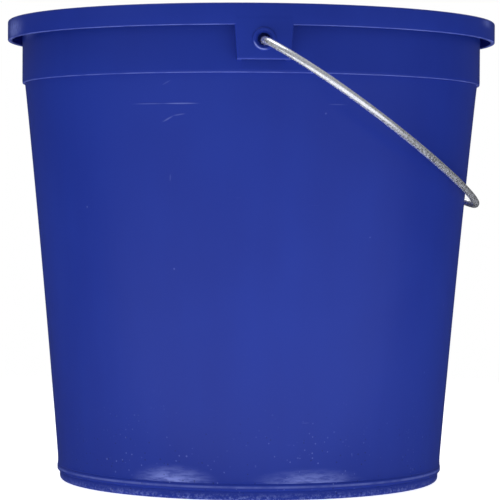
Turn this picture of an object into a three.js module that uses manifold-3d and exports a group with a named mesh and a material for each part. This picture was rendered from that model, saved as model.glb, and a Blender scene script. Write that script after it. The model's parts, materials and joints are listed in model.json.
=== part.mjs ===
// Wash bucket: a moulded plastic pail with a turned-down rim, two hollow ears and a wire bail.
// Units are millimetres and +Z is up. The origin is the centre of the foot ring's underside.
// The bail pivots about an axis along Y, and it hangs on the +X side at rest.
import * as THREE from "three";
import { mergeVertices } from "three/addons/utils/BufferGeometryUtils.js";
import Module from "manifold-3d";

const wasm = await Module();
wasm.setup();

// Overall size and walls
const HEIGHT = 251;
const RIM_RADIUS = 134; // outside of the rim's skirt
const WALL = 2; // body, collar and floor
const SKIRT_WALL = 2.4; // skirt, ear faces and ear sides
const RIM_WEB = 2.4; // top of the rim, over the hollow under it

// Rim, collar and ledge
const RIM_EDGE_ROUND = 1.1;
const SKIRT_BOTTOM = HEIGHT - 10.9;
const COLLAR_RADIUS = 126;
const LEDGE_HEIGHT = HEIGHT - 34.1;
const LEDGE_STEP = 1.5;
const SMALL_ROUND = 0.6; // edges of the skirt
const HOLLOW_ROUND = 1; // corners of the hollow under the rim

// Body wall: a shallow curve, a little steeper near the ledge than near the base
const WALL_FOOT = new THREE.Vector2(105.3, 9.4);
const WALL_BULGE = new THREE.Vector2(115, 126.8); // where the tangents of the two ends cross

// Base, from the top down: the wall flares a little, then a crease, a bead, a groove and a foot ring
const FLARE_TOP = new THREE.Vector2(105.85, 16);
const FLARE_BEND = new THREE.Vector2(105.4, 11.2);
const FLARE_BOTTOM = new THREE.Vector2(105.65, 9);
const CREASE = new THREE.Vector2(105.4, 8.7);
const BEAD_CREST = new THREE.Vector2(105.85, 6.7);
const GROOVE = new THREE.Vector2(104.4, 4.7);
const FOOT_RADIUS = 104.4;
const FOOT_ROUND = 2;
const FOOT_WIDTH = 6.2;
const UNDERSIDE_HEIGHT = 3;
const FLOOR_ROUND = 6; // inside corner between the wall and the floor

// Ears: hollow boxes under the rim, open at the bottom
const EAR_WIDTH = 29.3;
const EAR_BOTTOM = HEIGHT - 28;
const EAR_DRAFT = 1.3; // each side leans in by this much at the bottom

// Bail wire, its pivot and the holes that it turns in
const WIRE_RADIUS = 1.9;
const HOLE_RADIUS = 3.1;
const LIP_INSIDE = 4.3; // a raised lip surrounds each hole
const LIP_OUTSIDE = 5.9;
const LIP_HEIGHT = 0.6;
const HOLE_HEIGHT = HEIGHT - 18;
const PIVOT_HEIGHT = HOLE_HEIGHT - 0.7; // the wire lies low in its holes
const BAIL_TILT = THREE.MathUtils.degToRad(32.7); // how far the bail hangs below horizontal
const BAIL_REACH = 148.5; // from the pivot axis to the middle of the bow
const BAIL_SHOULDER = new THREE.Vector2(58, 189); // control point that spreads the legs
const BAIL_BOW = 56; // control point that flattens the bow
const LEG_ROOT = 140.5; // where the leg's line meets the pivot axis
const LEG_BEND = 4.5;
const HOOK_PLANE = 128.8; // the hooked end turns between the collar and the ear's face
const HOOK_LENGTH = 8.5;
const HOOK_BEND = 3.2;

const AROUND = 72; // facets round the bucket
const ARC_STEPS = 2; // facets on each round of the bucket's outline
const WALL_STEPS = 6;
const HOLE_SIDES = 24;
const WIRE_SIDES = 12;

const plastic = new THREE.MeshStandardMaterial({ color: 0x263a94, roughness: 0.42 });
const steel = new THREE.MeshStandardMaterial({ color: 0xc4c6c9, roughness: 0.28, metalness: 1 });

// Solids for joining and cutting

function solidFrom(geometry) {
  const bare = geometry.clone();
  bare.deleteAttribute("normal");
  bare.deleteAttribute("uv");
  const merged = mergeVertices(bare, 1e-4);
  return new wasm.Manifold(
    new wasm.Mesh({
      numProp: 3,
      vertProperties: merged.attributes.position.array,
      triVerts: new Uint32Array(merged.index.array),
    }),
  );
}

function geometryFrom(solid) {
  const mesh = solid.getMesh();
  const geometry = new THREE.BufferGeometry();
  geometry.setAttribute("position", new THREE.BufferAttribute(mesh.vertProperties, 3));
  geometry.setIndex(new THREE.BufferAttribute(mesh.triVerts, 1));
  return geometry;
}

// An outline in radius and height, turned about Z
function turned(points) {
  return solidFrom(new THREE.LatheGeometry(points, AROUND).rotateX(Math.PI / 2));
}

function ring(inner, outer, bottom, top) {
  return turned([
    new THREE.Vector2(inner, bottom),
    new THREE.Vector2(outer, bottom),
    new THREE.Vector2(outer, top),
    new THREE.Vector2(inner, top),
    new THREE.Vector2(inner, bottom),
  ]);
}

// Bucket

// A round of the outline about a centre, from one angle to another in degrees
function round(centreRadius, centreHeight, radius, from, to) {
  const [start, end] = [from, to].map(THREE.MathUtils.degToRad);
  const arc = new THREE.EllipseCurve(centreRadius, centreHeight, radius, radius, start, end, end < start);
  return arc.getPoints(ARC_STEPS);
}

// The wall's curve from the base up to the ledge, moved in from the outside by inset
function wallCurve(inset, bottom) {
  const top = new THREE.Vector2(COLLAR_RADIUS - LEDGE_STEP - inset, LEDGE_HEIGHT);
  const bulge = new THREE.Vector2(WALL_BULGE.x - inset, WALL_BULGE.y);
  return new THREE.QuadraticBezierCurve(bottom, bulge, top).getPoints(WALL_STEPS);
}

function baseOutline() {
  const footInside = FOOT_RADIUS - FOOT_WIDTH;
  const flare = new THREE.QuadraticBezierCurve(FLARE_BOTTOM, FLARE_BEND, FLARE_TOP);
  return [
    new THREE.Vector2(0, UNDERSIDE_HEIGHT),
    new THREE.Vector2(footInside - 0.6, UNDERSIDE_HEIGHT),
    new THREE.Vector2(footInside, 0),
    ...round(FOOT_RADIUS - FOOT_ROUND, FOOT_ROUND, FOOT_ROUND, -90, 0),
    GROOVE,
    BEAD_CREST,
    CREASE,
    ...flare.getPoints(ARC_STEPS),
  ];
}

function rimOutline() {
  const roof = HEIGHT - RIM_WEB;
  const skirtInside = RIM_RADIUS - SKIRT_WALL;
  const collarInside = COLLAR_RADIUS - WALL;
  return [
    new THREE.Vector2(COLLAR_RADIUS, LEDGE_HEIGHT + 0.3),
    ...round(COLLAR_RADIUS + HOLLOW_ROUND, roof - HOLLOW_ROUND, HOLLOW_ROUND, 180, 90),
    ...round(skirtInside - HOLLOW_ROUND, roof - HOLLOW_ROUND, HOLLOW_ROUND, 90, 0),
    ...round(skirtInside + SMALL_ROUND, SKIRT_BOTTOM + SMALL_ROUND, SMALL_ROUND, 180, 270),
    ...round(RIM_RADIUS - SMALL_ROUND, SKIRT_BOTTOM + SMALL_ROUND, SMALL_ROUND, -90, 0),
    ...round(RIM_RADIUS - RIM_EDGE_ROUND, HEIGHT - RIM_EDGE_ROUND, RIM_EDGE_ROUND, 0, 90),
    ...round(collarInside + HOLLOW_ROUND, HEIGHT - HOLLOW_ROUND, HOLLOW_ROUND, 90, 180),
    new THREE.Vector2(collarInside, LEDGE_HEIGHT + WALL),
  ];
}

function shell() {
  const floor = UNDERSIDE_HEIGHT + WALL;
  const cornerHeight = floor + FLOOR_ROUND;
  const cornerRadius = WALL_FOOT.x - WALL;
  const inside = wallCurve(WALL, new THREE.Vector2(cornerRadius, cornerHeight)).reverse();
  const corner = round(cornerRadius - FLOOR_ROUND, cornerHeight, FLOOR_ROUND, 0, -90).slice(1);
  const outside = wallCurve(0, WALL_FOOT).slice(1);
  return turned([
    ...baseOutline(),
    ...outside,
    ...rimOutline(),
    ...inside,
    ...corner,
    new THREE.Vector2(0, floor),
  ]);
}

// A wedge on the -Y side that trims a ring to the ear's width, less inset on each side
function earWedge(inset) {
  const top = EAR_WIDTH / 2 - inset;
  const bottom = top - EAR_DRAFT;
  const lean = EAR_DRAFT / (SKIRT_BOTTOM - EAR_BOTTOM);
  const spare = 2;
  const outline = new THREE.Shape([
    new THREE.Vector2(-bottom + spare * lean, EAR_BOTTOM - spare),
    new THREE.Vector2(bottom - spare * lean, EAR_BOTTOM - spare),
    new THREE.Vector2(top, SKIRT_BOTTOM),
    new THREE.Vector2(top, HEIGHT),
    new THREE.Vector2(-top, HEIGHT),
    new THREE.Vector2(-top, SKIRT_BOTTOM),
  ]);
  const wedge = new THREE.ExtrudeGeometry(outline, { depth: RIM_RADIUS * 1.1, bevelEnabled: false });
  return solidFrom(wedge.rotateX(Math.PI / 2));
}

// A round solid about the bail's hole in the -Y ear. Its outline is in radius and distance out from the ear.
function aboutHole(outline) {
  const points = outline.map(([radius, out]) => new THREE.Vector2(radius, out));
  const geometry = new THREE.LatheGeometry(points, HOLE_SIDES);
  return solidFrom(geometry.rotateX(Math.PI).translate(0, -RIM_RADIUS, HOLE_HEIGHT));
}

function holeLip() {
  return aboutHole([
    [0, -1],
    [LIP_OUTSIDE, -1],
    [LIP_OUTSIDE, 0],
    [LIP_OUTSIDE - LIP_HEIGHT, LIP_HEIGHT],
    [0, LIP_HEIGHT],
  ]);
}

function holeBore() {
  return aboutHole([
    [0, -SKIRT_WALL - 1],
    [HOLE_RADIUS, -SKIRT_WALL - 1],
    [HOLE_RADIUS, -1],
    [LIP_INSIDE, LIP_HEIGHT],
    [LIP_INSIDE, LIP_HEIGHT + 1],
    [0, LIP_HEIGHT + 1],
  ]);
}

function bucketGeometry() {
  const roof = HEIGHT - RIM_WEB;
  const block = ring(COLLAR_RADIUS - 1, RIM_RADIUS, EAR_BOTTOM, roof + 1).intersect(earWedge(0));
  const pocket = ring(COLLAR_RADIUS, RIM_RADIUS - SKIRT_WALL, EAR_BOTTOM - 1, roof)
    .intersect(earWedge(SKIRT_WALL));
  const outside = block.add(holeLip());
  const inside = pocket.add(holeBore());
  let bucket = shell();
  for (const turn of [0, 180]) {
    bucket = bucket.add(outside.rotate([0, 0, turn])).subtract(inside.rotate([0, 0, turn]));
  }
  return geometryFrom(bucket);
}

// Bail

// One half of the wire from its hooked end to the middle of the bow, on the side of Y given by sign.
// X is the distance from the pivot axis. Each stretch is a curve and its number of steps.
function halfBail(sign) {
  const at = (reach, spread) => new THREE.Vector3(reach, sign * spread, 0);
  const hookTop = HOOK_PLANE + HOOK_BEND;
  const root = new THREE.Vector2(0, LEG_ROOT);
  const legStart = BAIL_SHOULDER.clone().sub(root).setLength(LEG_BEND).add(root);
  return [
    [new THREE.LineCurve3(at(HOOK_LENGTH, HOOK_PLANE), at(HOOK_BEND, HOOK_PLANE)), 2],
    [new THREE.QuadraticBezierCurve3(at(HOOK_BEND, HOOK_PLANE), at(0, HOOK_PLANE), at(0, hookTop)), 5],
    [new THREE.LineCurve3(at(0, hookTop), at(0, LEG_ROOT - LEG_BEND)), 1],
    [new THREE.QuadraticBezierCurve3(
      at(0, LEG_ROOT - LEG_BEND),
      at(0, LEG_ROOT),
      at(legStart.x, legStart.y),
    ), 4],
    [new THREE.CubicBezierCurve3(
      at(legStart.x, legStart.y),
      at(BAIL_SHOULDER.x, BAIL_SHOULDER.y),
      at(BAIL_REACH, BAIL_BOW),
      at(BAIL_REACH, 0),
    ), 26],
  ];
}

// The whole wire as one curve whose parameter runs evenly over the steps of its stretches
class BailWire extends THREE.Curve {
  constructor() {
    super();
    this.front = halfBail(-1);
    this.back = halfBail(1);
    this.halfSteps = this.front.reduce((sum, [, steps]) => sum + steps, 0);
  }

  getPoint(t) {
    const along = t * 2 * this.halfSteps;
    const stretches = along <= this.halfSteps ? this.front : this.back;
    let left = along <= this.halfSteps ? along : 2 * this.halfSteps - along;
    for (const [curve, steps] of stretches) {
      if (left <= steps) return curve.getPoint(left / steps);
      left -= steps;
    }
    return stretches.at(-1)[0].getPoint(1);
  }

  // The steps stay where the stretches put them, instead of being spread by length
  getUtoTmapping(u) {
    return u;
  }
}

function bailGeometry() {
  const wire = new BailWire();
  const corners = WIRE_RADIUS / Math.cos(Math.PI / WIRE_SIDES); // the section's flats touch the round wire
  const section = new THREE.Shape().absarc(0, 0, corners, 0, 2 * Math.PI);
  return new THREE.ExtrudeGeometry(section, {
    extrudePath: wire,
    steps: 2 * wire.halfSteps,
    curveSegments: WIRE_SIDES / 2,
  });
}

// Assembly

const bucket = new THREE.Mesh(bucketGeometry(), plastic);
bucket.name = "bucket";

const bail = new THREE.Mesh(bailGeometry(), steel);
bail.name = "bail";

const pivot = new THREE.Group();
pivot.position.z = PIVOT_HEIGHT;
pivot.rotation.y = BAIL_TILT;
pivot.add(bail);

const washBucket = new THREE.Group();
washBucket.add(bucket, pivot);

export default washBucket;
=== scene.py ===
"""Wash bucket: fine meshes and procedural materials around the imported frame, with a plain studio."""

import json
import math

import bmesh
import bpy
from mathutils import Matrix, Vector


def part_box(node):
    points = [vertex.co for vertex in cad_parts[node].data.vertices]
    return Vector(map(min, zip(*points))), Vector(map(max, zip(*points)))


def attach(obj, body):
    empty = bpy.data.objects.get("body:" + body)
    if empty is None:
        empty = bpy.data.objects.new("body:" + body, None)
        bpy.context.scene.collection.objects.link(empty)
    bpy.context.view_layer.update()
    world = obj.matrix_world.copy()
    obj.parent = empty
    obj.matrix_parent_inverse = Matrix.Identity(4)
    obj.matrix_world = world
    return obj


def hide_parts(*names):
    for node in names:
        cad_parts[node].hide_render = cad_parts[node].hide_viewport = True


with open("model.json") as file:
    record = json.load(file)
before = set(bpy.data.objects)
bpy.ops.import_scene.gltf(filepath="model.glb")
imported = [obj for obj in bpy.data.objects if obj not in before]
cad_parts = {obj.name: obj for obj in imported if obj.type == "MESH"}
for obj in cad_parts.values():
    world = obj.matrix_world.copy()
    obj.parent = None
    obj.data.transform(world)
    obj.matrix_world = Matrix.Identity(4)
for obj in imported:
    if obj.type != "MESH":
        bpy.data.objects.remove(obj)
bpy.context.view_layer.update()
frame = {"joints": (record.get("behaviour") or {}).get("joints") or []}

MM = 0.001

# Driving dimensions, in millimetres, from the frame
bucket_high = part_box("bucket")[1]
PIVOT_HEIGHT = frame["joints"][0]["pos_m"][2] / MM
HEIGHT = bucket_high.z / MM
RIM_RADIUS = bucket_high.x / MM

# The rest of the moulding, as the CAD model has it. Vectors are a radius and a height
WALL = 2.0
SKIRT_WALL = 2.4
ROOF = HEIGHT - 2.4  # top of the hollow under the rim
RIM_EDGE_ROUND = 1.1
SKIRT_BOTTOM = HEIGHT - 10.9
COLLAR_RADIUS = RIM_RADIUS - 8.0
LEDGE_HEIGHT = HEIGHT - 34.1
LEDGE_STEP = 1.5
UNDERSIDE_HEIGHT = 3.0
FLOOR_HEIGHT = UNDERSIDE_HEIGHT + WALL
FLOOR_ROUND = 5.6
FOOT_RADIUS = 104.4
FOOT_ROUND = 2.0
FOOT_WIDTH = 6.2
FLARE_TOP = Vector((105.85, 16.0))
FLARE_BEND = Vector((105.4, 11.2))
FLARE_BOTTOM = Vector((105.65, 9.0))
CREASE = Vector((105.4, 8.7))
BEAD_CREST = Vector((105.85, 6.7))
GROOVE = Vector((104.4, 4.7))
WALL_FOOT = Vector((105.3, 9.4))
WALL_BULGE = Vector((115.0, 126.8))
EAR_WIDTH = 29.3
EAR_BOTTOM = HEIGHT - 28.0
EAR_TOP = HEIGHT - 1.6
EAR_DRAFT = 1.3
EAR_SLOPE = EAR_DRAFT / (SKIRT_BOTTOM - EAR_BOTTOM)
EAR_EDGE_ROUND = 0.8
POCKET_EDGE_ROUND = 0.02
EAR_LEAN = 0.25
EAR_LEAN_START = SKIRT_BOTTOM + 4
HOLE_HEIGHT = HEIGHT - 18.0
HOLE_RADIUS = 3.1
LIP_INSIDE = 4.3
LIP_OUTSIDE = 5.9
LIP_HEIGHT = 0.6

# The bail's wire, in millimetres. Vectors are a reach from the pivot axis and a spread along it
WIRE_RADIUS = 1.9
WIRE_CHAMFER = 0.3
BAIL_TILT = math.radians(32.7)
BAIL_REACH = 148.5
BAIL_SHOULDER = Vector((58.0, 189.0))
BAIL_BOW = 56.0
LEG_ROOT = 140.5
LEG_BEND = 4.5
HOOK_PLANE = 128.8
HOOK_LENGTH = 8.5
HOOK_BEND = 3.2

# Fineness of the meshes
AROUND = 288
HOLE_SIDES = 96
ARC_STEPS = 6
FLARE_STEPS = 12
WALL_STEPS = 36
EAR_COLUMNS = 30
EAR_ROWS = 22
EAR_EDGE_STEPS = (0.0, 0.04, 0.15, 0.31, 0.5, 0.75, 1.0)  # shares of the edge's round
WIRE_SIDES = 32
HOOK_STEPS = 4
BEND_STEPS = 14
BOW_STEPS = 90
OUTSIDE_STEP = 6  # the longest step of the outline, outside and inside, in millimetres
INSIDE_STEP = 12
BUCKET_SHARP_ANGLE = 28  # edges over this many degrees stay sharp
WIRE_SHARP_ANGLE = 40

# Small offsets, in millimetres, that keep the faces of two solids from coinciding
OVERLAP = 0.02
EAR_PROUD = 0.004


# ---------------------------------------------------------------- camera

# Distances are in metres
CAMERA_AZIMUTH = math.radians(-2.75)
CAMERA_PITCH = math.radians(1.008)
CAMERA_ROLL = math.radians(0.35)
CAMERA_HEIGHT = 0.1483
CAMERA_DISTANCE = 9.409 * RIM_RADIUS * MM
IMAGE_WIDTH = 500
FOCAL_LENGTH = 2274.6  # in the same unit as the image's width


def make_camera():
    """A long lens a little above the bucket's middle, moved a little round to the left."""
    ahead = Vector((-math.sin(CAMERA_AZIMUTH), math.cos(CAMERA_AZIMUTH), 0.0))
    right = Vector((math.cos(CAMERA_AZIMUTH), math.sin(CAMERA_AZIMUTH), 0.0))
    forward = ahead * math.cos(CAMERA_PITCH) - Vector((0, 0, math.sin(CAMERA_PITCH)))
    up = right.cross(forward)
    rolled_right = right * math.cos(CAMERA_ROLL) + up * math.sin(CAMERA_ROLL)
    rolled_up = up * math.cos(CAMERA_ROLL) - right * math.sin(CAMERA_ROLL)
    data = bpy.data.cameras.new("camera")
    data.lens = FOCAL_LENGTH / IMAGE_WIDTH * data.sensor_width
    data.clip_start = 0.01
    data.clip_end = 100
    camera = bpy.data.objects.new("camera", data)
    bpy.context.scene.collection.objects.link(camera)
    turn = Matrix((rolled_right, rolled_up, -forward)).transposed()
    place = Vector((0, 0, CAMERA_HEIGHT)) - ahead * CAMERA_DISTANCE
    camera.matrix_world = Matrix.Translation(place) @ turn.to_4x4()
    bpy.context.scene.camera = camera


# ---------------------------------------------------------------- mesh helpers

def new_object(name, mesh):
    made = bpy.data.objects.new(name, mesh)
    bpy.context.scene.collection.objects.link(made)
    return made


def mesh_from(name, points, faces):
    """A mesh from points in millimetres."""
    mesh = bpy.data.meshes.new(name)
    mesh.from_pydata([Vector(p) * MM for p in points], [], faces)
    mesh.update()
    return mesh


def rounded(corners):
    """An outline through corners of (radius, height, round). A corner that has a round becomes an arc."""
    out = []
    for i, (x, z, radius) in enumerate(corners):
        here = Vector((x, z))
        if radius == 0:
            out.append(here)
            continue
        back = (Vector(corners[i - 1][:2]) - here).normalized()
        ahead = (Vector(corners[i + 1][:2]) - here).normalized()
        half = back.angle(ahead) / 2
        centre = here + (back + ahead).normalized() * (radius / math.sin(half))
        start = here + back * (radius / math.tan(half)) - centre
        sweep = start.angle_signed(here + ahead * (radius / math.tan(half)) - centre)
        for step in range(ARC_STEPS + 1):
            turn = Matrix.Rotation(-sweep * step / ARC_STEPS, 2)
            out.append(centre + turn @ start)
    return out


def bezier(points, steps):
    """Points along a Bezier curve of any degree, without its first point."""
    out = []
    for step in range(1, steps + 1):
        t = step / steps
        row = list(points)
        while len(row) > 1:
            row = [a.lerp(b, t) for a, b in zip(row, row[1:])]
        out.append(row[0])
    return out


def filled_in(outline, longest):
    """The outline with extra points, so that no step is longer than longest."""
    out = [outline[0]]
    for a, b in zip(outline, outline[1:]):
        steps = max(1, math.ceil((b - a).length / longest))
        out += [a.lerp(b, step / steps) for step in range(1, steps + 1)]
    return out


def faces_between(low, high):
    """The faces between two rings of point numbers, with doubled corners left out."""
    faces = []
    for k in range(len(low)):
        n = (k + 1) % len(low)
        loop = [low[k], low[n], high[n], high[k]]
        faces.append([v for i, v in enumerate(loop) if v != loop[i - 1]])
    return faces


def lathe(name, outline, sides):
    """Turns an outline of (radius, height) about Z. A point on the axis becomes one shared point."""
    points, rings = [], []
    for r, z in outline:
        if r < 1e-6:
            rings.append([len(points)] * sides)
            points.append((0, 0, z))
            continue
        rings.append(list(range(len(points), len(points) + sides)))
        for k in range(sides):
            a = 2 * math.pi * k / sides
            points.append((r * math.sin(a), -r * math.cos(a), z))
    faces = []
    for low, high in zip(rings, rings[1:]):
        faces += faces_between(low, high)
    return mesh_from(name, points, faces)


def apply_boolean(target, operation, cutter):
    """Joins the cutter to the target, or cuts the target by it, and removes the cutter."""
    modifier = target.modifiers.new("boolean", "BOOLEAN")
    modifier.operation = operation
    modifier.solver = "EXACT"
    modifier.object = cutter
    graph = bpy.context.evaluated_depsgraph_get()
    made = bpy.data.meshes.new_from_object(target.evaluated_get(graph))
    target.modifiers.clear()
    target.data = made
    bpy.data.objects.remove(cutter)


def joined_copies(name, mesh, turns):
    """One object with the mesh repeated, each copy turned about Z by an angle in degrees."""
    work = bmesh.new()
    for turn in turns:
        copy = mesh.copy()
        copy.transform(Matrix.Rotation(math.radians(turn), 4, "Z"))
        work.from_mesh(copy)
    both = bpy.data.meshes.new(name)
    work.to_mesh(both)
    work.free()
    return new_object(name, both)


def finish_mesh(made, sharp_degrees):
    """Merges doubled points, shades smooth and keeps edges over an angle sharp."""
    work = bmesh.new()
    work.from_mesh(made.data)
    bmesh.ops.remove_doubles(work, verts=work.verts, dist=1e-7)
    bmesh.ops.dissolve_degenerate(work, edges=work.edges, dist=1e-8)
    work.to_mesh(made.data)
    work.free()
    made.data.shade_smooth()
    made.data.set_sharp_from_angle(angle=math.radians(sharp_degrees))


def face_outward(made):
    """Turns every face of a closed mesh to the outside."""
    work = bmesh.new()
    work.from_mesh(made.data)
    bmesh.ops.recalc_face_normals(work, faces=work.faces)
    work.to_mesh(made.data)
    work.free()


# ---------------------------------------------------------------- bucket

def wall_curve(inset, bottom):
    """The wall's shallow curve from the base up to the ledge, moved in by inset."""
    top = Vector((COLLAR_RADIUS - LEDGE_STEP - inset, LEDGE_HEIGHT))
    bulge = WALL_BULGE - Vector((inset, 0))
    out = []
    for step in range(WALL_STEPS + 1):
        t = step / WALL_STEPS
        out.append(bottom * (1 - t) ** 2 + bulge * (2 * t * (1 - t)) + top * t ** 2)
    return out


def base_outline():
    """From the middle of the underside round the foot ring and the bead to the flare's lower end."""
    foot_inside = FOOT_RADIUS - FOOT_WIDTH
    return rounded([
        (0, UNDERSIDE_HEIGHT, 0),
        (foot_inside - 0.6, UNDERSIDE_HEIGHT, 1.0),
        (foot_inside, 0, 0.4),
        (FOOT_RADIUS, 0, FOOT_ROUND),
        (FOOT_RADIUS + 0.15, GROOVE.y - 0.25, 0.2),
        (GROOVE.x, GROOVE.y, 0.2),
        (GROOVE.x + 0.4, GROOVE.y + 0.15, 0.15),
        (BEAD_CREST.x, GROOVE.y + 0.9, 1.1),
        (BEAD_CREST.x, CREASE.y - 0.7, 1.0),
        (CREASE.x + 0.05, CREASE.y - 0.05, 0.1),
        (CREASE.x, CREASE.y + 0.1, 0.1),
        (FLARE_BOTTOM.x, FLARE_BOTTOM.y, 0.2),
        (FLARE_BOTTOM.x - 0.03, FLARE_BOTTOM.y + 0.3, 0),
    ])


def rim_outline():
    """From the top of the wall round the ledge, the collar, the hollow, the skirt and the rim."""
    skirt_inside = RIM_RADIUS - SKIRT_WALL
    collar_inside = COLLAR_RADIUS - WALL
    return rounded([
        (COLLAR_RADIUS - LEDGE_STEP - 0.02, LEDGE_HEIGHT - 0.6, 0),
        (COLLAR_RADIUS - LEDGE_STEP, LEDGE_HEIGHT, 0.2),
        (COLLAR_RADIUS - 0.15, LEDGE_HEIGHT, 0.35),
        (COLLAR_RADIUS, LEDGE_HEIGHT + 1.4, 1.0),
        (COLLAR_RADIUS, ROOF, 1.0),
        (skirt_inside, ROOF, 1.0),
        (skirt_inside, SKIRT_BOTTOM, 0.6),
        (RIM_RADIUS, SKIRT_BOTTOM, 0.6),
        (RIM_RADIUS, HEIGHT, RIM_EDGE_ROUND),
        (collar_inside, HEIGHT, 1.0),
        (collar_inside, LEDGE_HEIGHT + WALL, 1.0),
        (collar_inside - LEDGE_STEP + 0.1, LEDGE_HEIGHT + 0.2, 0),
    ])


def shell_outline():
    """The whole moulding without its ears, from the middle of the underside to the middle of the floor."""
    base = base_outline()
    flare = bezier([base[-1], FLARE_BEND, FLARE_TOP], FLARE_STEPS)
    outside = base + flare + wall_curve(0, WALL_FOOT)[2:-1] + rim_outline()
    corner = Vector((WALL_FOOT.x - WALL, FLOOR_HEIGHT + 6))
    inside = wall_curve(WALL, corner)[::-1]
    floor = rounded([
        (corner.x, corner.y + 1, 0),
        (corner.x - 0.05, FLOOR_HEIGHT, FLOOR_ROUND),
        (0, FLOOR_HEIGHT, 0),
    ])
    return filled_in(outside, OUTSIDE_STEP) + filled_in(inside[1:-1] + floor[1:], INSIDE_STEP)


def edge_drop(distance, edge):
    """How far a face with a rounded edge falls back, at a distance in from that edge."""
    if distance >= edge:
        return 0.0
    return edge - math.sqrt(edge ** 2 - (edge - distance) ** 2)


def block_faces(front, back):
    """The faces of a block, from the grids of point numbers of its front and its back."""
    faces = []
    last = len(front[0]) - 1
    for low, high, back_low, back_high in zip(front, front[1:], back, back[1:]):
        for i in range(last):
            faces.append([low[i], low[i + 1], high[i + 1], high[i]])
            faces.append([back_low[i + 1], back_low[i], back_high[i], back_high[i + 1]])
        faces.append([back_low[0], low[0], high[0], back_high[0]])
        faces.append([low[-1], back_low[-1], back_high[-1], high[-1]])
    for i in range(last):
        faces.append([back[0][i], back[0][i + 1], front[0][i + 1], front[0][i]])
        faces.append([front[-1][i], front[-1][i + 1], back[-1][i + 1], back[-1][i]])
    return faces


def ear_solid(name, inner, outer, inset, bottom, top, edge, lean_in=0.0):
    """A block of the ear on the -Y side, curved with the rim between two radii, with drafted sides.

    The edge of its face is rounded. High on the ear the face leans in, so that it ends inside the rim.
    """
    near = [edge * share for share in EAR_EDGE_STEPS]
    rise = top - bottom - edge
    ups = near + [edge + rise * k / EAR_ROWS for k in range(1, EAR_ROWS + 1)]
    points, front, back = [], [], []
    for up in ups:
        z = bottom + up
        half = EAR_WIDTH / 2 - inset - EAR_SLOPE * max(0.0, SKIRT_BOTTOM - z)
        inside = [edge + (2 * half - 2 * edge) * k / EAR_COLUMNS for k in range(1, EAR_COLUMNS)]
        row = near + inside + [2 * half - s for s in reversed(near)]
        front.append(range(len(points), len(points) + 2 * len(row), 2))
        back.append(range(len(points) + 1, len(points) + 1 + 2 * len(row), 2))
        for s in row:
            x = s - half
            side = min(s, 2 * half - s)
            cut = min(math.hypot(edge_drop(side, edge), edge_drop(up, edge)), edge)
            radius = outer - cut - lean_in * max(0.0, z - EAR_LEAN_START)
            points.append((x, -math.sqrt(radius ** 2 - x ** 2), z))
            points.append((x, -math.sqrt(inner ** 2 - x ** 2), z))
    return mesh_from(name, points, block_faces(front, back))


def about_hole(name, corners):
    """A round solid about the bail's hole in the -Y ear, from corners of (radius, distance out, round)."""
    mesh = lathe(name, rounded(corners), HOLE_SIDES)
    mesh.transform(Matrix.Rotation(math.radians(90), 4, "X"))
    mesh.transform(Matrix.Translation((0, -RIM_RADIUS * MM, HOLE_HEIGHT * MM)))
    return mesh


def hole_lip():
    return about_hole("lip", [
        (0, -1, 0),
        (LIP_OUTSIDE, -1, 0),
        (LIP_OUTSIDE, -0.1, 0),
        (LIP_OUTSIDE - 0.05, LIP_HEIGHT, 0.55),
        (0, LIP_HEIGHT, 0),
    ])


def hole_bore():
    return about_hole("bore", [
        (0, -SKIRT_WALL - 1, 0),
        (HOLE_RADIUS, -SKIRT_WALL - 1, 0),
        (HOLE_RADIUS, -1, 0.8),
        (LIP_INSIDE, LIP_HEIGHT - 0.1, 0.4),
        (LIP_INSIDE + 0.5, LIP_HEIGHT + 0.1, 0),
        (LIP_INSIDE + 0.5, LIP_HEIGHT + 1, 0),
        (0, LIP_HEIGHT + 1, 0),
    ])


def make_bucket():
    turns = (0, 180)
    made = new_object("bucket_moulding", lathe("bucket_moulding", shell_outline(), AROUND))
    block = ear_solid(
        "ear", COLLAR_RADIUS - 1, RIM_RADIUS + EAR_PROUD, 0,
        EAR_BOTTOM, EAR_TOP, EAR_EDGE_ROUND, EAR_LEAN)
    pocket = ear_solid(
        "pocket", COLLAR_RADIUS + OVERLAP, RIM_RADIUS - SKIRT_WALL - OVERLAP, SKIRT_WALL,
        EAR_BOTTOM - 2, ROOF - 1.1, POCKET_EDGE_ROUND)
    apply_boolean(made, "UNION", joined_copies("ears", block, turns))
    apply_boolean(made, "DIFFERENCE", joined_copies("pockets", pocket, turns))
    apply_boolean(made, "UNION", joined_copies("lips", hole_lip(), turns))
    apply_boolean(made, "DIFFERENCE", joined_copies("bores", hole_bore(), turns))
    finish_mesh(made, BUCKET_SHARP_ANGLE)
    return made


# ---------------------------------------------------------------- bail

def half_bail():
    """The wire's line from its hooked end to the middle of the bow, as (reach, spread)."""
    root = Vector((0, LEG_ROOT))
    leg_start = root + (BAIL_SHOULDER - root).normalized() * LEG_BEND
    line = [Vector((HOOK_LENGTH, HOOK_PLANE))]
    line += bezier([line[0], Vector((HOOK_BEND, HOOK_PLANE))], HOOK_STEPS)
    line += bezier([line[-1], Vector((0, HOOK_PLANE)), Vector((0, HOOK_PLANE + HOOK_BEND))], BEND_STEPS)
    line += bezier([line[-1], Vector((0, LEG_ROOT - LEG_BEND))], HOOK_STEPS)
    line += bezier([line[-1], root, leg_start], BEND_STEPS)
    bow = [leg_start, BAIL_SHOULDER, Vector((BAIL_REACH, BAIL_BOW)), Vector((BAIL_REACH, 0))]
    return line + bezier(bow, BOW_STEPS)


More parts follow.
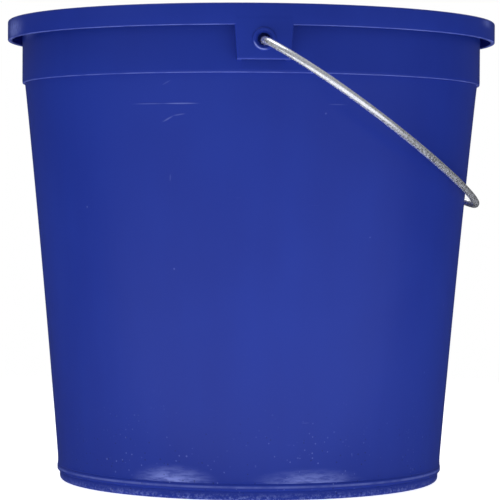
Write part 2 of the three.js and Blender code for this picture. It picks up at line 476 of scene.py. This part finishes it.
def wire_sections(line):
    """The wire's rings, as place, outward normal and radius, with a chamfer at both cut ends."""
    sections = []
    last = len(line) - 1
    for i, at in enumerate(line):
        before, after = line[max(i - 1, 0)], line[min(i + 1, last)]
        along = (after - before).normalized()
        normal = Vector((along.y, -along.x))
        if i == 0:
            sections.append((at, normal, WIRE_RADIUS - WIRE_CHAMFER))
            sections.append((at + along * WIRE_CHAMFER, normal, WIRE_RADIUS))
        elif i == last:
            sections.append((at - along * WIRE_CHAMFER, normal, WIRE_RADIUS))
            sections.append((at, normal, WIRE_RADIUS - WIRE_CHAMFER))
        else:
            sections.append((at, normal, WIRE_RADIUS))
    return sections


def make_bail():
    """The wire, swept in the bail's own tilted plane."""
    half = half_bail()
    line = [Vector((p.x, -p.y)) for p in half] + list(reversed(half[:-1]))
    down = Vector((math.cos(BAIL_TILT), 0, -math.sin(BAIL_TILT)))
    side = Vector((math.sin(BAIL_TILT), 0, math.cos(BAIL_TILT)))
    spread = Vector((0, 1, 0))
    pivot = Vector((0, 0, PIVOT_HEIGHT))
    points = []
    for at, normal, radius in wire_sections(line):
        centre = pivot + down * at.x + spread * at.y
        outward = down * normal.x + spread * normal.y
        for k in range(WIRE_SIDES):
            a = 2 * math.pi * k / WIRE_SIDES
            points.append(centre + (outward * math.cos(a) + side * math.sin(a)) * radius)
    rings = [list(range(first, first + WIRE_SIDES)) for first in range(0, len(points), WIRE_SIDES)]
    faces = [rings[0][::-1], rings[-1]]
    for low, high in zip(rings, rings[1:]):
        faces += faces_between(low, high)
    made = new_object("bail_wire", mesh_from("bail_wire", points, faces))
    face_outward(made)
    finish_mesh(made, WIRE_SHARP_ANGLE)
    return made


# ---------------------------------------------------------------- materials

class Nodes:
    """Short calls for building a material's node tree."""

    def __init__(self, name):
        self.material = bpy.data.materials.new(name)
        self.material.use_nodes = True
        self.tree = self.material.node_tree
        self.tree.nodes.clear()
        self.shader = self.tree.nodes.new("ShaderNodeBsdfPrincipled")
        output = self.tree.nodes.new("ShaderNodeOutputMaterial")
        self.tree.links.new(self.shader.outputs[0], output.inputs["Surface"])

    def add(self, kind, settings=None, **inputs):
        """A new node. An input is named by its socket, or as i0, i1 and so on by its number."""
        node = self.tree.nodes.new("ShaderNode" + kind)
        for key, value in (settings or {}).items():
            setattr(node, key, value)
        for key, value in inputs.items():
            self.put(node, int(key[1:]) if key[1:].isdigit() else key.replace("_", " "), value)
        return node

    def put(self, node, socket, value):
        target = node.inputs[socket]
        if isinstance(value, bpy.types.NodeSocket):
            self.tree.links.new(value, target)
        else:
            target.default_value = value

    def math(self, operation, a, b=0.0, clamp=False):
        return self.add("Math", {"operation": operation, "use_clamp": clamp}, i0=a, i1=b).outputs[0]

    def times(self, first, *others):
        for other in others:
            first = self.math("MULTIPLY", first, other)
        return first

    def greatest(self, first, *others):
        for other in others:
            first = self.math("MAXIMUM", first, other)
        return first

    def distance(self, a, b):
        """The difference between two numbers, without its sign."""
        return self.math("ABSOLUTE", self.math("SUBTRACT", a, b))

    def above(self, value, limit):
        """One where the value is above the limit, and zero elsewhere."""
        return self.math("GREATER_THAN", value, limit)

    def vector(self, operation, output, a, b=(0, 0, 0)):
        return self.add("VectorMath", {"operation": operation}, i0=a, i1=b).outputs[output]

    def noise(self, coords, scale, detail=2.0, roughness=0.5):
        node = self.add("TexNoise", None, Scale=scale, Detail=detail, Roughness=roughness)
        self.put(node, "Vector", coords)
        return node.outputs["Fac"]

    def stretched(self, coords, scale, turn=0.0, shift=0.0):
        node = self.add("Mapping", None, Scale=scale)
        self.put(node, "Vector", coords)
        self.put(node, "Rotation", (0, 0, turn))
        self.put(node, "Location", (shift, shift * 0.7, 0))
        return node.outputs[0]

    def ramp(self, value, low, high, to_low=0.0, to_high=1.0):
        node = self.add("MapRange", {"interpolation_type": "SMOOTHSTEP"}, Value=value)
        self.put(node, "From Min", low)
        self.put(node, "From Max", high)
        self.put(node, "To Min", to_low)
        self.put(node, "To Max", to_high)
        return node.outputs[0]

    def mix(self, factor, a, b):
        node = self.add("Mix", {"data_type": "RGBA"})
        self.put(node, 0, factor)
        self.put(node, 6, a)
        self.put(node, 7, b)
        return node.outputs[2]

    def bump(self, height, distance, strength=1.0, under=None):
        node = self.add("Bump", None, Height=height, Distance=distance, Strength=strength)
        if under is not None:
            self.put(node, "Normal", under)
        return node.outputs[0]


# The plastic's colours
DEEP_BLUE = (0.0120, 0.029, 0.265, 1)
CLEAR_BLUE = (0.0130, 0.034, 0.300, 1)
# paler blue, for wear and for the painted highlights alike
PALE_WEAR_AND_HIGHLIGHT = (0.20, 0.25, 0.66, 1)
DIRT = (0.008, 0.012, 0.06, 1)

# Edges painted paler as highlight lines, painted highlights where their rounds catch the light from below:
# height, half width, least radius and least distance from the plane x = 0, all in millimetres, and strength
EDGE_HIGHLIGHT_LINES = (
    (SKIRT_BOTTOM - 0.1, 0.55, COLLAR_RADIUS + 4, EAR_WIDTH / 2, 0.5),
    (LEDGE_HEIGHT, 0.5, COLLAR_RADIUS - LEDGE_STEP + 0.15, 0, 0.4),
    (EAR_BOTTOM - 0.05, 0.45, COLLAR_RADIUS + 4, 0, 0.25),
    (BEAD_CREST.y + 0.3, 0.8, BEAD_CREST.x - 0.25, 0, 0.4),
)

# Handling marks on the wall, as angle from -Y towards +X in degrees and height in millimetres at both ends,
# half width in millimetres, and strength
MARKS = (
    (-33.0, 201.6, -22.0, 201.6, 0.35, 0.5),
    (-25.0, 201.6, -14.0, 201.6, 0.45, 0.9),
    (15.0, 201.6, 21.0, 201.6, 0.35, 0.35),
    (-24.5, 192.0, -21.0, 195.8, 0.5, 0.6),
    (-21.8, 195.4, -18.0, 196.6, 0.45, 0.5),
    (-24.2, 210.6, -21.4, 213.6, 0.5, 0.25),
    (-22.7, 161.9, -22.5, 166.9, 0.5, 0.35),
    (15.0, 196.4, 15.4, 197.6, 0.6, 0.6),
)

# Broad pale patches that are painted highlights, as angle in degrees and height of the middle, half length,
# half height and strength
# painted highlights where the rim's curved ends catch the light
RIM_END_HIGHLIGHTS = (
    (-74.0, SKIRT_BOTTOM + 4.5, 20.0, 7.5, 0.8),
    (67.0, SKIRT_BOTTOM + 8.5, 12.0, 3.5, 0.45),
)
# painted highlights of the lamps on the flare above the bead, broken by streaks of fine scratches
FLARE_HIGHLIGHTS = (
    (-24.5, 9.0, 30.0, 10.0, 1.0),
    (14.5, 9.0, 38.0, 8.5, 0.8),
)

# Scratches, as the turn of their pattern in radians and its shift
SCRATCHES = ((0.5, 0.0), (-0.9, 3.1), (0.05, 7.7))
SCRATCH_STRETCH = (70.0, 1500.0, 1.0)

# Specks, as cells per metre, size as a share of a cell, and share of the cells that have one
COARSE_SPECKS = (300.0, 0.20, 0.07)
FINE_SPECKS = (620.0, 0.32, 0.14)
STRAY_SPECKS = (90.0, 0.06, 0.10)
DARK_SPECKS = (520.0, 0.30, 0.12)

# How strongly each pattern shows
SCRATCHES_SHOW = 0.25
SPECKS_SHOW = 0.42
STRAYS_SHOW = 0.35
# the foot's pale band is ground wear and painted light from below
WORN_AND_LIT_FOOT_SHOWS = 0.6
MARKS_SHOW = 0.5
DIRT_SHOWS = 0.5

UNROLLED = 0.12  # radius at which angles become distances along the wall, in metres
SEAM = 0.2  # angle beside the seam of the unrolled wall where scratches fade out
HIGHLIT_RING = 5.1  # radius of the painted highlight ring on the hole's lip, at its lower left where the lip's round catches the light
# direction, from the hole, of the lip's painted highlight
HIGHLIT_SIDE = (-0.5, 0, -0.87)


class Place:
    """The coordinates that the plastic's patterns are laid out in, in metres."""

    def __init__(self, n):
        self.point = n.add("TexCoord").outputs["Object"]
        self.parts = n.add("SeparateXYZ", None, Vector=self.point).outputs
        self.height = self.parts["Z"]
        self.angle = n.math("ARCTAN2", self.parts["X"], n.times(self.parts["Y"], -1.0))
        self.radius = n.vector("LENGTH", "Value", n.stretched(self.point, (1, 1, 0)))
        along = n.times(self.angle, UNROLLED)
        self.unrolled = n.add("CombineXYZ", None, X=along, Y=self.height).outputs[0]


def oval(n, unrolled, middle, turn, half_length, half_height):
    """The distance from an oval's middle, as a share of the way to its edge."""
    node = n.add("Mapping", {"vector_type": "TEXTURE"}, Vector=unrolled)
    n.put(node, "Location", middle)
    n.put(node, "Rotation", (0, 0, turn))
    n.put(node, "Scale", (half_length, half_height, 1))
    return n.vector("LENGTH", "Value", node.outputs[0])


def stroke(n, at, angle_a, height_a, angle_b, height_b, half_width, strength):
    """A tapered mark between two points of the unrolled wall."""
    a = Vector((math.radians(angle_a) * UNROLLED, height_a * MM, 0))
    b = Vector((math.radians(angle_b) * UNROLLED, height_b * MM, 0))
    turn = math.atan2(b.y - a.y, b.x - a.x)
    away = oval(n, at.unrolled, (a + b) / 2, turn, (b - a).length / 2, half_width * MM)
    return n.ramp(away, 1.0, 0.3, 0.0, strength)


def scuff(n, at, angle, height, half_length, half_height, strength):
    """A soft oval patch on the unrolled wall."""
    middle = (math.radians(angle) * UNROLLED, height * MM, 0)
    away = oval(n, at.unrolled, middle, 0, half_length * MM, half_height * MM)
    return n.ramp(away, 1.0, 0.0, 0.0, strength)


def specks(n, point, per_metre, size, share):
    """Sparse round specks: one in some cells of a Voronoi pattern, as large as size of the cell."""
    node = n.add("TexVoronoi", None, Scale=per_metre)
    n.put(node, "Vector", point)
    chosen = n.add("SeparateXYZ", None, Vector=node.outputs["Color"]).outputs
    dot = n.ramp(node.outputs["Distance"], size, size * 0.5)
    return n.times(dot, n.math("LESS_THAN", chosen["X"], share))


def scratches(n, at):
    """Short scratches in three directions, only where a broad mask lets them show."""
    found = 0.0
    for turn, shift in SCRATCHES:
        lines = n.noise(n.stretched(at.unrolled, SCRATCH_STRETCH, turn, shift), 1.0, 1.0)
        found = n.greatest(found, n.ramp(lines, 0.76, 0.82))
    worn = n.ramp(n.noise(at.point, 26.0, 3.0, 0.6), 0.54, 0.70)
    away_from_seam = n.ramp(n.math("ABSOLUTE", at.angle), math.pi, math.pi - SEAM)
    return n.times(found, worn, away_from_seam)


def pale_specks(n, at, low):
    """Specks in clusters, thickest near the base."""
    clusters = n.ramp(n.noise(at.point, 55.0, 2.0), 0.42, 0.62)
    both = n.greatest(specks(n, at.point, *FINE_SPECKS), specks(n, at.point, *COARSE_SPECKS))
    return n.times(both, low, clusters)


def worn_and_lit_foot(n, at):
    """The lowest few millimetres of the foot ring, paler: wear from the ground, and painted light from
    below on the foot's band.
    """
    pattern = n.ramp(n.noise(at.point, 600.0, 4.0, 0.7), 0.44, 0.68)
    near_ground = n.ramp(at.height, 0.0045, 0.0010)
    on_ring = n.above(at.radius, (FOOT_RADIUS - FOOT_WIDTH) * MM)
    return n.times(pattern, near_ground, on_ring)


def painted_lip_highlight(n, at):
    """The lip round each hole, with a painted highlight at its lower left where the lip's round catches the
    light.
    """
    from_hole = n.vector("SUBTRACT", 0, at.point, (0, 0, HOLE_HEIGHT * MM))
    flat = n.vector("MULTIPLY", 0, from_hole, (1, 0, 1))
    away = n.vector("LENGTH", "Value", flat)
    ring = n.ramp(n.distance(away, HIGHLIT_RING * MM), 0.5 * MM, 0.2 * MM)
    side = n.ramp(n.vector("DOT_PRODUCT", "Value", flat, HIGHLIT_SIDE), 3.0 * MM, 4.8 * MM)
    on_ear = n.above(n.math("ABSOLUTE", at.parts["Y"]), (RIM_RADIUS - 1.2) * MM)
    return n.times(ring, side, on_ear)


def painted_edge_highlights(n, at):
    """Painted highlight lines along the listed edges, where their rounds catch the light from below;
    stronger in some places than in others.
    """
    patchy = n.ramp(n.noise(at.point, 70.0, 3.0, 0.6), 0.30, 0.62, 0.35, 1.0)
    across = n.math("ABSOLUTE", at.parts["X"])
    found = 0.0
    for height, half_width, least_radius, least_across, strength in EDGE_HIGHLIGHT_LINES:
        off = n.distance(at.height, height * MM)
        edge = n.ramp(off, half_width * MM, half_width * 0.3 * MM, 0.0, strength)
        beyond = n.times(n.above(at.radius, least_radius * MM), n.above(across, least_across * MM))
        found = n.greatest(found, n.times(edge, beyond, patchy))
    return found


def outside_of_wall(n, at):
    """One outside the middle of the wall's thickness, and zero inside it."""
    slope = (COLLAR_RADIUS - LEDGE_STEP - WALL_FOOT.x) / (LEDGE_HEIGHT - WALL_FOOT.y)
    at_ground = WALL_FOOT.x - 0.65 * WALL - WALL_FOOT.y * slope
    return n.above(at.radius, n.math("ADD", n.times(at.height, slope), at_ground * MM))


def handling_marks_and_highlights(n, at):
    """The marks, and the broad pale patches that are painted highlights on the rim's ends and the flare, on
    the outside only.
    """
    mottled = n.ramp(n.noise(at.point, 420.0, 3.0, 0.7), 0.36, 0.62, 0.4, 1.0)
    streaks = n.noise(n.stretched(at.unrolled, (110.0, 600.0, 1.0)), 1.0, 3.0, 0.65)
    above_bead = n.ramp(at.height, (CREASE.y - 0.1) * MM, (CREASE.y + 0.5) * MM)
    streaked = n.times(n.ramp(streaks, 0.34, 0.62, 0.3, 1.0), above_bead)
    found = [n.times(stroke(n, at, *mark), MARKS_SHOW) for mark in MARKS]
    # painted highlights on the rim's ends, mottled
    found += [n.times(scuff(n, at, *patch), mottled) for patch in RIM_END_HIGHLIGHTS]
    # painted highlights on the flare, streaked with fine scratches
    found += [n.times(scuff(n, at, *patch), streaked) for patch in FLARE_HIGHLIGHTS]
    return n.times(n.greatest(*found), outside_of_wall(n, at))


def plastic_material():
    """Blue polyethylene: satin skin with a fine grain, slow flow marks, specks, scratches and scuffs, with
    painted highlights on the edges, the hole's lips, the flare and the rim's ends, and painted light on the
    foot.
    """
    n = Nodes("blue_plastic")
    at = Place(n)

    # Slow changes of tone, and faint upright flow marks
    tone = n.noise(at.point, 9.0, 3.0)
    flow = n.noise(n.stretched(at.point, (60.0, 60.0, 4.0)), 1.0, 3.0)
    depth = n.math("ADD", tone, n.times(flow, 0.4))
    colour = n.mix(n.ramp(depth, 0.45, 0.95), DEEP_BLUE, CLEAR_BLUE)

    # Everything that makes the skin paler, wear and painted highlights alike, and specks of dirt near the
    # base
    low = n.ramp(at.height, 0.060, 0.010, 0.05, 1.0)
    marks_and_highlights = n.greatest(
        n.times(scratches(n, at), SCRATCHES_SHOW),
        n.times(pale_specks(n, at, low), SPECKS_SHOW),
        n.times(specks(n, at.point, *STRAY_SPECKS), STRAYS_SHOW),
        # ground wear and painted light from below on the foot
        n.times(worn_and_lit_foot(n, at), WORN_AND_LIT_FOOT_SHOWS),
        handling_marks_and_highlights(n, at),
        # painted highlight on the hole's lip
        painted_lip_highlight(n, at),
        # painted highlight lines along the edges
        painted_edge_highlights(n, at),
    )
    dark = n.times(specks(n, n.stretched(at.point, (1, 1, 1), 0, 0.3), *DARK_SPECKS), low)
    colour = n.mix(marks_and_highlights, colour, PALE_WEAR_AND_HIGHLIGHT)
    n.put(n.shader, "Base Color", n.mix(n.times(dark, DIRT_SHOWS), colour, DIRT))

    # Satin skin, duller in the marks
    grain = n.noise(at.point, 900.0, 3.0, 0.6)
    rough = n.math("ADD", n.ramp(tone, 0.3, 0.7, 0.29, 0.36), n.times(marks_and_highlights, 0.3))
    n.put(n.shader, "Roughness", n.math("ADD", rough, n.times(grain, 0.05), True))
    skin = n.bump(grain, 0.00003, 0.5)
    waves = n.bump(n.noise(at.point, 34.0, 2.0), 0.0004, 0.25, skin)
    n.put(n.shader, "Normal", n.bump(marks_and_highlights, -0.00006, 0.6, waves))
    n.shader.inputs["IOR"].default_value = 1.5
    n.shader.inputs["Specular IOR Level"].default_value = 0.16
    return n.material


# The wire's colours
DULL_ZINC = (0.66, 0.69, 0.78, 1)
BRIGHT_ZINC = (0.92, 0.93, 0.97, 1)
TARNISH = (0.22, 0.23, 0.28, 1)


def wire_material():
    """Bright galvanised wire: a finely mottled zinc skin with dull spots."""
    n = Nodes("steel_wire")
    point = n.add("TexCoord").outputs["Object"]
    mottle = n.noise(point, 850.0, 4.0, 0.7)
    broad = n.noise(point, 30.0, 2.0)
    spots = n.ramp(n.noise(point, 420.0, 3.0, 0.7), 0.56, 0.70)
    zinc = n.mix(n.ramp(mottle, 0.38, 0.62), DULL_ZINC, BRIGHT_ZINC)
    n.put(n.shader, "Base Color", n.mix(n.times(spots, 0.45), zinc, TARNISH))
    n.put(n.shader, "Metallic", n.ramp(mottle, 0.40, 0.60, 0.55, 0.95))
    rough = n.math("ADD", n.ramp(broad, 0.3, 0.7, 0.14, 0.22), n.times(mottle, 0.10))
    n.put(n.shader, "Roughness", n.math("ADD", rough, n.times(spots, 0.15), True))
    n.put(n.shader, "Normal", n.bump(mottle, 0.00004, 0.5))
    return n.material


# ---------------------------------------------------------------- studio

FLOOR_RADIUS = 800  # millimetres
FLOOR_DROP = 0.0002  # the floor lies this far under the foot, in metres
FLOOR_LIGHT = (0.80, 0.80, 0.80, 1)
FLOOR_LIGHTER = (0.84, 0.84, 0.84, 1)
FLOOR_GLOW = 0.85
FLOOR_GONE = 0.8  # distance from the middle where the floor has faded out, in metres
FLOOR_WHOLE = 0.35  # distance up to which it is whole
BUCKET_MIDDLE = (0, 0, 0.12)

# The world's light: axis of the direction, two values along it, and the light's strength at each of them
WORLD_RAMPS = (
    ("Z", 0.0, 1.0, 0.06, 0.6),
    ("Y", -0.25, 0.35, 0.32, 0.05),
)


def floor_material():
    """Matt white that fades out towards the edge of the disc."""
    n = Nodes("floor")
    point = n.add("TexCoord").outputs["Object"]
    n.put(n.shader, "Base Color", n.mix(n.noise(point, 2.0, 2.0), FLOOR_LIGHT, FLOOR_LIGHTER))
    n.shader.inputs["Roughness"].default_value = 0.8
    n.shader.inputs["Specular IOR Level"].default_value = 0.2
    n.shader.inputs["Emission Color"].default_value = (1, 1, 1, 1)
    n.shader.inputs["Emission Strength"].default_value = FLOOR_GLOW
    n.put(n.shader, "Alpha", n.ramp(n.vector("LENGTH", "Value", point), FLOOR_GONE, FLOOR_WHOLE))
    return n.material


def add_light(name, place, size, power, aim=BUCKET_MIDDLE, glossy=True):
    data = bpy.data.lights.new(name, "AREA")
    data.shape = "RECTANGLE"
    data.size, data.size_y = size
    data.energy = power
    light = bpy.data.objects.new(name, data)
    bpy.context.scene.collection.objects.link(light)
    light.location = place
    light.visible_camera = False
    light.visible_glossy = glossy
    light.rotation_euler = (Vector(aim) - Vector(place)).to_track_quat("-Z", "Y").to_euler()


def world_strength(tree):
    """The strength of the world's light in each direction: the greatest of WORLD_RAMPS."""
    coords = tree.nodes.new("ShaderNodeTexCoord")
    parts = tree.nodes.new("ShaderNodeSeparateXYZ")
    tree.links.new(coords.outputs["Generated"], parts.inputs[0])
    brighter = tree.nodes.new("ShaderNodeMath")
    brighter.operation = "MAXIMUM"
    for slot, (axis, *limits) in enumerate(WORLD_RAMPS):
        ramp = tree.nodes.new("ShaderNodeMapRange")
        tree.links.new(parts.outputs[axis], ramp.inputs["Value"])
        for socket, value in zip(("From Min", "From Max", "To Min", "To Max"), limits):
            ramp.inputs[socket].default_value = value
        tree.links.new(ramp.outputs[0], brighter.inputs[slot])
    return brighter.outputs[0]


def make_world():
    """Soft light from overhead and from the front, with plain white seen behind the object."""
    world = bpy.data.worlds.new("studio")
    world.use_nodes = True
    tree = world.node_tree
    tree.nodes.clear()
    output = tree.nodes.new("ShaderNodeOutputWorld")
    mix = tree.nodes.new("ShaderNodeMixShader")
    path = tree.nodes.new("ShaderNodeLightPath")
    seen = tree.nodes.new("ShaderNodeBackground")
    seen.inputs["Color"].default_value = (1, 1, 1, 1)
    seen.inputs["Strength"].default_value = 1.0
    light = tree.nodes.new("ShaderNodeBackground")
    tree.links.new(world_strength(tree), light.inputs["Strength"])
    tree.links.new(path.outputs["Is Camera Ray"], mix.inputs[0])
    tree.links.new(light.outputs[0], mix.inputs[1])
    tree.links.new(seen.outputs[0], mix.inputs[2])
    tree.links.new(mix.outputs[0], output.inputs["Surface"])
    bpy.context.scene.world = world


def make_studio():
    floor = new_object("floor", lathe("floor", [Vector((0, 0)), Vector((FLOOR_RADIUS, 0))], 96))
    floor.data.materials.append(floor_material())
    floor.location.z = -FLOOR_DROP
    floor.visible_glossy = False
    add_light("left_softbox", (-1.5, -0.9, 0.7), (1.0, 0.8), 2.6, glossy=False)
    add_light("right_softbox", (1.4, -1.0, 0.7), (1.0, 0.8), 2.8, glossy=False)
    add_light("top_softbox", (-0.5, -0.2, 1.7), (1.0, 1.2), 8)
    add_light("back_softbox", (0.4, 1.7, 1.3), (1.2, 0.9), 9)
    add_light("floor_glow", (0.1, -0.65, 0.001), (1.9, 1.0), 5, (0.1, -0.65, 1))
    make_world()
    bpy.context.scene.view_settings.view_transform = "Standard"


# ---------------------------------------------------------------- assembly

make_camera()
make_studio()

bucket = make_bucket()
bucket.data.materials.clear()
bucket.data.materials.append(plastic_material())
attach(bucket, "bucket")
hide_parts("bucket")

bail = make_bail()
bail.data.materials.append(wire_material())
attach(bail, "bail")
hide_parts("bail")
